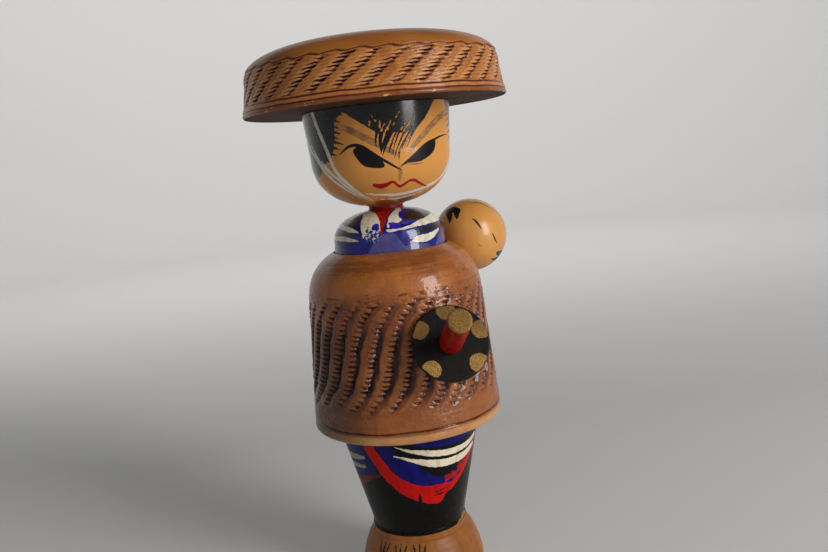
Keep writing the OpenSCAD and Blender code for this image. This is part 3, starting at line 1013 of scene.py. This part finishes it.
    # eyes: a thin lid line over the lowered eye
    paint.stroke("eye", [
        (-47.5, 156), (-40.5, 157.8), (-36, 158.4), (-31.5, 158.3), (-26.5, 157.3), (-21.5, 155.6),
        (-16, 153.8), (-10, 152), (-4, 150.3), (0.7, 149.2),
    ], [0.15, 0.4, 0.52, 0.55, 0.5, 0.48, 0.46, 0.42, 0.32, 0.08])
    paint.patch("eye", [
        (-35.7, 156.6), (-32.4, 153.6), (-29.6, 152.1), (-25.4, 151.1), (-16.5, 150.5), (-12.6, 150.9),
        (-13.6, 152.4), (-16, 154), (-21.4, 155.8), (-26.6, 157.4), (-31, 158),
    ])
    paint.stroke("eye", [
        (0, 150.4), (6, 151.9), (12, 153.6), (18, 155.4), (25, 157), (33, 157.9), (42, 158.8), (55, 159.4),
    ], [0.16, 0.45, 0.45, 0.45, 0.42, 0.4, 0.28, 0.08])
    paint.patch("eye", [
        (5, 151.4), (16.4, 151.3), (23, 152.2), (28.5, 153.4), (32.4, 154.9), (34, 157), (31, 158),
        (24, 157), (17, 155.2), (10.6, 153.3),
    ])
    paint.stroke("thin", [(4, 151), (12, 150.6), (21, 150.8)], [0.1, 0.2, 0.1])
    paint.stroke("nose", [(-1.2, 149.6), (-0.8, 148), (-1, 146.3)], [0.7, 0.9, 0.5])
    paint.stroke("mouth", [
        (-23.4, 145.2), (-18, 144.7), (-13, 144.9), (-7, 145.7), (-3.5, 144.8), (0, 144), (4, 144.5),
        (9, 145.5), (14, 145.4), (20, 144.4), (27, 143.5), (34, 142.9),
    ], [0.6, 0.85, 0.7, 0.42, 0.42, 0.48, 0.45, 0.45, 0.45, 0.4, 0.3, 0.1])

    # chin straps: several pale strands on each side that meet under the chin
    for points, widths in (
        ([
            (-71, 172.5), (-69, 169.4), (-66.5, 165.8), (-60, 158), (-54, 150.8), (-47.5, 146.7),
            (-41, 143.2), (-31.5, 140),
        ], [0.7, 0.8, 0.8, 0.75, 0.7, 0.7, 0.55, 0.2]),
        ([
            (-98, 165.4), (-92, 162), (-78, 156.2), (-67, 151), (-57, 146.4), (-43, 141.2),
        ], [0.4, 0.5, 0.5, 0.6, 0.55, 0.2]),
        ([(-81, 160), (-69, 153.4), (-56, 148.7), (-48, 144.6), (-38, 140.8)], [0.3, 0.45, 0.5, 0.5, 0.2]),
        ([(-68, 154.5), (-59, 150.4), (-53, 147.4), (-45, 143.6)], [0.2, 0.3, 0.3, 0.15]),
        ([
            (-34, 142.6), (-16, 141.6), (2, 141.3), (21, 141.9), (33, 142.8), (49, 144.6), (58, 148),
            (66, 155), (72, 163), (76, 172.5),
        ], [0.2, 0.42, 0.46, 0.48, 0.5, 0.5, 0.6, 0.7, 0.75, 0.8]),
        ([(-22, 140.2), (0, 139.9), (22, 140.5), (36, 141.6)], [0.1, 0.25, 0.28, 0.1]),
        ([(36, 142), (50, 144.2), (62, 148.5), (74, 154), (86, 161)], [0.2, 0.4, 0.45, 0.45, 0.3]),
    ):
        paint.stroke("strap", points, widths)
    paint.stroke("shade", [
        (-30, 138.6), (-14, 138.9), (0, 138.8), (14, 138.7), (28, 138.9),
    ], [0.8, 1.5, 1.3, 1.6, 0.9])
    paint.save(piece)

    m = Material("face_paint")
    m.colour = wood(m, rgb(212, 146, 72), rgb(178, 108, 46), 120, 0.6)
    grey_brown = brush_paint(m, rgb(116, 92, 66), 0.4)
    dry = m.noise(700, 4, 0.7, m.stretched(0.5, 0.5, 1))
    m.cover(m.times(m.painted("shade", 0.5, 500), 0.7), rgb(122, 52, 30))
    m.cover(m.times(m.painted("brow", 0.25, 500), m.span(dry, 0.35, 0.62, 0.35, 0.85)), grey_brown)
    m.cover(m.times(m.painted("nose", 0.3, 500, 0.3), 0.65), rgb(116, 98, 66))
    m.cover(m.times(m.painted("thin", 0.1, 500), 0.7), rgb(88, 56, 30))
    black = brush_paint(m, rgb(17, 14, 15), 0.2)
    scratch = m.painted("gap", 0.3, 900)
    hair = m.times(m.painted("hair", 0.16, 900), m.math("SUBTRACT", 1.0, scratch))
    m.cover(hair, black)
    m.cover(m.painted("streak", 0.14, 1200), black)
    strap = m.times(m.painted("strap", 0.2, 700, 0.1), m.span(dry, 0.3, 0.6, 0.78, 1.0))
    m.cover(strap, rgb(226, 222, 210))
    m.cover(m.painted("eye", 0.03, 900), rgb(13, 11, 12))
    m.cover(m.painted("mouth", 0.05, 900), rgb(152, 12, 12))
    m.set(base_color=m.colour)
    varnish(m, 0.34, 0.2, 0.12, 0.2)
    m.set(coat_weight=m.span(hair, 0, 1, 0.2, 0.9), coat_roughness=m.span(hair, 0, 1, 0.12, 0.17))
    specks = m.span(m.noise(1300, 3, 0.7), 0.44, 0.56)
    raised = m.math("ADD", hair, m.math("ADD", m.painted("eye"), m.painted("mouth")))
    height = m.times(raised, 0.5, m.times(lathe_lines(m), 0.4))
    height = m.times(m.times(hair, specks), 2.6, height)
    m.set(normal=m.bump(height, 0.00016, 0.6))
    finish_piece(piece, "head", "head", m)


# ---------------------------------------------------------------- hat
HAT_COLUMNS = 33
HAT_PITCH = 1.15
BAND_LOW, BAND_HIGH = HAT_Z + 3.0, HAT_Z + 14.5


def hat_carving(az, z):
    """Returns the cut depth in mm, how dark it is burnt, with painted shade in the notches and valleys, and
    the bright tops of the dashes.
    """
    spacing = 360 / HAT_COLUMNS
    rough = lumps(around(az, 192), z / 2.1)
    across = (az - VIEW_TURN - 1.77 * (z - 180) + 27 + 0.6 * rough) / spacing + 0.5
    column = np.floor(across).astype(int) % HAT_COLUMNS
    u = (across - np.floor(across) - 0.5) * spacing * math.radians(CARVED_HAT_R)
    shift = CUT_JITTER[column, 2]
    v = z - 0.04 * u + 0.5 * shift + 0.25 * rough
    dash = np.floor(v / HAT_PITCH).astype(int) % RANDOM_GRID
    jitter = CUT_JITTER[dash, column]
    u = u + 0.3 * shift + 0.4 * jitter
    notch, tops = rope(u, v, HAT_PITCH, -3.8, 1.5, jitter, 0.6)
    strands = smooth(0.1, 0.9, np.abs((v / HAT_PITCH) % 1 - 0.5) * 2)
    strands = strands * (smooth(1.2, 2.0, u) + 1 - smooth(-3.4, -2.4, u))
    scallop = BAND_HIGH + 0.3 * np.cos(2 * math.pi * (across + 0.2)) + 0.12 * jitter
    inside = hill(BAND_LOW + 0.2, BAND_LOW + 1.2, scallop - 0.8, scallop - 0.3, z)
    valley = hill(-0.9, 0.6, 0.9, 2.2, u)
    wander = 0.12 * lumps(around(az, 64), z * 0 + 7)
    lines = [bell(z - at, w) for at, w in (
        (scallop, 0.27), (BAND_LOW + wander, 0.3), (HAT_Z + 1.45 + wander, 0.26),
    )]
    sunk = hill(BAND_LOW - 0.1, BAND_LOW + 0.3, scallop - 0.2, scallop + 0.2, z)
    cuts = 0.5 * notch * (1 + 0.3 * jitter) + 0.3 * valley + 0.11 * strands
    depth = inside * cuts + 0.25 * sunk + 0.26 * sum(lines) + 0.05 * sunk * rough
    # dark notches, valleys and strands: burnt stain plus painted shade in the cuts; the lines are burnt
    # rings
    dark = smooth(0.06, 0.42, notch) * smooth(-3.0, -0.8, u) * (0.85 + 0.3 * jitter)
    carved = inside * np.maximum(np.maximum(dark, 0.35 * valley), 0.28 * strands)
    burn_and_shade = np.maximum(carved, np.maximum(0.8 * lines[0], 0.85 * np.maximum(lines[1], lines[2])))
    return depth, burn_and_shade, inside * tops


def build_hat():
    dome = crown(HAT_TOP_R, HAT_TOP - HAT_Z - HAT_WALL_H, 2.8, 0, 70) + [0, HAT_Z + HAT_WALL_H]
    outline = dense([
        stem(HAT_BORE_R, HAT_Z, HAT_Z + HAT_BORE_H)[::-1], [(HAT_R - 0.5, HAT_Z)],
        arc(HAT_R - 0.5, HAT_Z + 0.5, 0.5, -90, 0, 5), dome,
    ], lambda z: 1.2 if z <= HAT_Z + 0.2 or z > HAT_Z + 16 else 0.16)
    ring_r = outline[1:-1, 0]
    outside = (np.arange(len(ring_r)) > int(np.argmax(ring_r >= HAT_R - 0.6)))[:, None]

    def cut(az, z, r):
        return hat_carving(az, z)[0] * outside * (r > 36) * smooth(HAT_Z + 0.5, HAT_Z + 0.8, z)

    piece, az, z = turned("straw_hat", outline, azimuths(0, 180, 360 / 840), cut)
    _, burn_and_shade, tops = hat_carving(az, z)
    wall = outside * (z < HAT_Z + 17)
    mark(piece, "burn_and_shade", burn_and_shade * wall)
    mark(piece, "tops", tops * wall)
    mark(piece, "wall", wall * (1 - smooth(BAND_HIGH - 0.2, BAND_HIGH + 0.2, z)))
    mark(piece, "rim", wall * (1 - smooth(HAT_Z + 1.3, HAT_Z + 1.6, z)))
    mark(piece, "under", np.broadcast_to(~outside, z.shape))

    m = Material("hat_stain")
    m.colour = wood(m, rgb(176, 108, 46), rgb(138, 78, 32), 90, 0.7)
    rings = m.noise(260, 4, 0.7, m.stretched(0.05, 0.05, 1), 0.5)
    m.cover(m.span(rings, 0.5, 0.7, 0, 0.4), rgb(104, 58, 28))
    soot = m.noise(35, 4, 0.65, m.stretched(0.4, 1, 1))
    m.cover(m.span(soot, 0.5, 0.72, 0, 0.5), rgb(96, 56, 30))
    band = wood(m, rgb(196, 128, 64), rgb(160, 92, 42), 200, 1.0)
    m.cover(m.attribute("wall"), band)
    m.cover(m.times(m.attribute("rim"), 0.75), rgb(118, 58, 32))
    chips = m.times(m.attribute("rim"), m.span(m.noise(300, 5, 0.75), 0.585, 0.62))
    m.cover(chips, rgb(216, 172, 112))
    # pale tops of the dashes: lighter wood plus a painted highlight
    m.cover(m.times(m.attribute("tops"), m.span(
        m.noise(120, 4, 0.7), 0.35, 0.65, 0.1, 0.8,
    )), rgb(206, 154, 104))
    # burnt lines, plus burnt stain and painted shade in the notches and valleys
    fleck = m.frayed(m.attribute("burn_and_shade"), 0.5, 1100)
    m.cover(m.span(fleck, 0.1, 0.5), rgb(112, 54, 30))
    m.cover(m.span(fleck, 0.45, 0.95), rgb(36, 14, 16))
    m.cover(m.attribute("under"), brush_paint(m, rgb(78, 50, 34), 0.25))
    m.set(base_color=m.colour)
    smudge = m.noise(60, 4, 0.6)
    m.set(coat_weight=m.times(m.attribute("under"), -0.25, 0.26), coat_roughness=0.18, ior=1.5)
    m.set(specular_ior_level=0.15)
    m.set(roughness=m.times(m.attribute("under"), 0.4, m.span(smudge, 0.3, 0.7, 0.32, 0.46)))
    m.set(normal=m.bump(m.times(m.noise(600, 3, 0.6), 0.5, lathe_lines(m, 1200)), 0.0002, 0.5))
    finish_piece(piece, "hat", "hat", m)


# ---------------------------------------------------------------- child's head
def on_side(azimuth, reach, z, turn, slope):
    """Frame at a point beside the doll, with its Z axis sloping up and outwards."""
    a = math.radians(azimuth)
    move = Matrix.Translation(Vector((reach * math.sin(a), -reach * math.cos(a), z)) * MM)
    turned_by = Matrix.Rotation(math.radians(turn), 4, "Z")
    return move @ turned_by @ Matrix.Rotation(math.radians(90 - slope), 4, "X")


def ball_point(azimuth, z):
    r = math.sqrt(CHILD_R**2 - z**2)
    a = math.radians(azimuth + CHILD_FRONT)
    return np.array([r * math.sin(a), -r * math.cos(a), z])


def build_child_head():
    ball = arc(0, 0, CHILD_R, -90, 90, 180)
    ball = ball[(ball[:, 0] > CHILD_BORE_R) | (ball[:, 1] > 0)]
    hole_z = CHILD_PEG_HOLE - CHILD_R
    outline = dense([[(0, hole_z), (CHILD_BORE_R, hole_z)], ball[:-1], [(0, CHILD_R)]], lambda z: 0.25)
    place = on_side(CHILD_AZIMUTH, math.hypot(CHILD.x, CHILD.y), CHILD.z, CHILD_AZIMUTH, CHILD_SLOPE)
    piece, az, z = turned("child_face", outline, azimuths(CHILD_FRONT, 95, 0.8, 2.5), None, place)
    rho = np.broadcast_to(outline[1:-1, 0:1], az.shape)
    at = np.stack([rho * np.sin(np.radians(az)), -rho * np.cos(np.radians(az)), z], -1).reshape(-1, 3)
    strokes = {
        "hair": [
            ([(-82, 0.1), (-70, 0.5), (-60, 0.2)], [1.2, 1.5, 1.3]),
            ([(-75, -1), (-67, -3.2), (-65, -4.8)], [1.4, 1.1, 0.4]),
            ([(-59, -0.6), (-54, -2.8)], [1.3, 0.5]),
            ([(84, 0.4), (72, 0.4), (60, -0.8), (50, -2.6), (43, -3.4)], [1.2, 1.4, 1.3, 1.0, 0.3]),
            ([(70, -1), (60, -4), (50, -6)], [1.2, 0.9, 0.3]),
        ],
        "brow": [([
            (-50, 5.6), (-36, 8), (-18, 8.4), (2, 9), (18, 8.6), (28, 6),
        ], [0.2, 0.7, 0.5, 0.4, 0.4, 0.15])],
        "eye": [
            ([(-31, -0.7), (-24, -1.1), (-17, -1.7), (-11, -2.4)], [0.15, 0.45, 0.45, 0.2]),
            ([(7, -0.7), (14, -1.2), (20, -1.6), (28, -1.7)], [0.12, 0.36, 0.34, 0.1]),
        ],
        "mouth": [([(-2, -7.0), (3, -7.2), (8, -6.8)], [0.1, 0.2, 0.1])],
    }
    for name, lines in strokes.items():
        best = np.full(len(at), FAR)
        for points, widths in lines:
            curve = spline([ball_point(*p) for p in points])
            curve *= CHILD_R / np.linalg.norm(curve, axis=1, keepdims=True)
            widths = np.interp(np.linspace(0, 1, len(curve)), np.linspace(0, 1, len(widths)), widths)
            for a, b, wa, wb in zip(curve, curve[1:], widths, widths[1:]):
                t = np.clip((at - a) @ (b - a) / max((b - a) @ (b - a), 1e-9), 0, 1)
                gap = np.linalg.norm(at - a - t[:, None] * (b - a), axis=1)
                best = np.minimum(best, gap - (wa + (wb - wa) * t))
        mark(piece, name, best)

    m = Material("child_face_paint")
    m.colour = wood(m, rgb(216, 154, 80), rgb(190, 120, 52), 160, 0.6)
    cloud = m.noise(90, 4, 0.6)
    m.cover(m.span(cloud, 0.5, 0.72, 0, 0.4), rgb(168, 108, 52))
    m.cover(m.times(m.painted("brow", 0.2, 700, 0.3), 0.6), rgb(104, 78, 44))
    m.cover(m.times(m.painted("mouth", 0.05, 700, 0.1), 0.7), rgb(150, 52, 36))
    m.cover(m.painted("hair", 0.2, 900), rgb(20, 17, 18))
    m.cover(m.painted("eye", 0.06, 900, 0.08), rgb(52, 34, 22))
    m.set(base_color=m.colour)
    varnish(m, 0.36, 0.5, 0.18)
    m.set(normal=m.bump(m.times(m.painted("hair", 0.2, 900), 0.5, lathe_lines(m)), 0.0001, 0.4))
    finish_piece(piece, "child_head", "child_head", m)


# ---------------------------------------------------------------- sword
GOLD_ANGLES = (150, 90, 17, -44, -133)
GOLD_REACH = 10.7
GOLD_R = 3.05


def sword_place():
    return on_side(GUARD_AZIMUTH, GUARD_REACH, GUARD_Z, HILT_TURN, HILT_SLOPE)


def gold(m):
    glitter = m.noise(3600, 3, 0.7)
    return m.mix(m.span(glitter, 0.36, 0.66), rgb(106, 74, 32), rgb(202, 158, 86))


def build_guard():
    rim = 0.5
    outline = dense([
        [(0, -GUARD_T), (GUARD_R - rim, -GUARD_T)], arc(GUARD_R - rim, -GUARD_T + rim, rim, -90, 0, 6),
        arc(GUARD_R - rim, -rim, rim, 0, 90, 6), [(0, 0)],
    ], lambda z: 0.25)
    piece, az, z = turned("sword_guard_disc", outline, azimuths(0, 180, 1.5), None, sword_place())
    rho = np.broadcast_to(outline[1:-1, 0:1], az.shape)
    x, y = rho * np.sin(np.radians(az)), -rho * np.cos(np.radians(az))
    patches = np.full(az.shape, FAR)
    for angle in GOLD_ANGLES:
        a = math.radians(angle)
        gap = np.hypot(x - GOLD_REACH * math.cos(a), y - GOLD_REACH * math.sin(a))
        patches = np.minimum(patches, gap - GOLD_R)
    patches = np.where(z > -0.6, np.maximum(patches, rho - GUARD_R + 0.3), FAR)
    mark(piece, "gold", patches)
    # painted shade: the upper gold patches are darkened as if shaded
    mark(piece, "wear_sheen_shade", smooth(-4, 8, y))
    m = Material("guard_paint")
    # upper patches darkened as painted shade
    leaf = m.mix(m.times(m.attribute("wear_sheen_shade"), 0.6), gold(m), rgb(78, 56, 30))
    colour = m.mix(m.painted("gold", 0.25, 700), brush_paint(m, rgb(22, 18, 15), 0.3), leaf)
    m.set(base_color=colour)
    m.set(roughness=m.span(m.painted("gold", 0.25, 700), 0, 1, 0.42, 0.6))
    m.set(specular_ior_level=0.2, coat_weight=0.05, coat_roughness=0.3)
    m.set(normal=m.bump(m.noise(1500, 2, 0.6), 0.0001, 0.4))
    finish_piece(piece, "doll_body", "sword_guard", m)


def build_hilt():
    edge = 0.4
    outline = dense([
        [(0, -20), (2.3, -20), (2.3, 0), (HILT_R, 0), (HILT_R, HILT_L - edge)],
        [(HILT_R - edge, HILT_L)], [(0, HILT_L)],
    ], lambda z: 0.5)
    piece, az, z = turned("sword_hilt_rod", outline, azimuths(0, 180, 5), None, sword_place())
    mark(piece, "gold", HILT_L - 0.6 - z + 0.25 * np.sin(np.radians(az * 3)))
    m = Material("hilt_paint")
    dull_gold = m.mix(0.45, gold(m), rgb(96, 66, 30))
    colour = m.mix(m.painted("gold", 0.2, 900), brush_paint(m, rgb(168, 14, 8), 0.35), dull_gold)
    m.set(base_color=colour)
    varnish(m, 0.4, 0.08, 0.2, 0.12)
    m.set(normal=m.bump(m.noise(1200, 2, 0.6), 0.0001, 0.4))
    finish_piece(piece, "doll_body", "sword_hilt", m)


# ---------------------------------------------------------------- hidden dowels keep their CAD shape
def dress_dowels():
    m = Material("dowel_wood")
    m.set(base_color=wood(m, rgb(216, 184, 138), rgb(186, 148, 100), 300))
    m.set(roughness=0.7)
    m.set(normal=m.bump(m.noise(900, 3, 0.6, m.stretched(1, 1, 0.1)), 0.0002, 0.5))
    for name in ("base_dowel", "body_dowel", "crown_peg", "child_peg"):
        m.on(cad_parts[name])
    m = Material("neck_peg_paint")
    height = m.add("SeparateXYZ", {"Vector": m.place}, "Z")
    off_neck = m.math("ABSOLUTE", m.math("SUBTRACT", height, (NECK_Z + HEAD_Z) / 2 * MM))
    bare = wood(m, rgb(216, 184, 138), rgb(186, 148, 100), 300)
    m.set(base_color=m.mix(m.span(off_neck, 0.0014, 0.002), brush_paint(m, rgb(128, 14, 12), 0.4), bare))
    varnish(m, 0.45, 0.1, 0.2)
    m.on(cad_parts["neck_peg"])


build_base()
build_lower_body()
build_cape()
build_shoulders()
build_head()
build_hat()
build_child_head()
build_guard()
build_hilt()
dress_dowels()
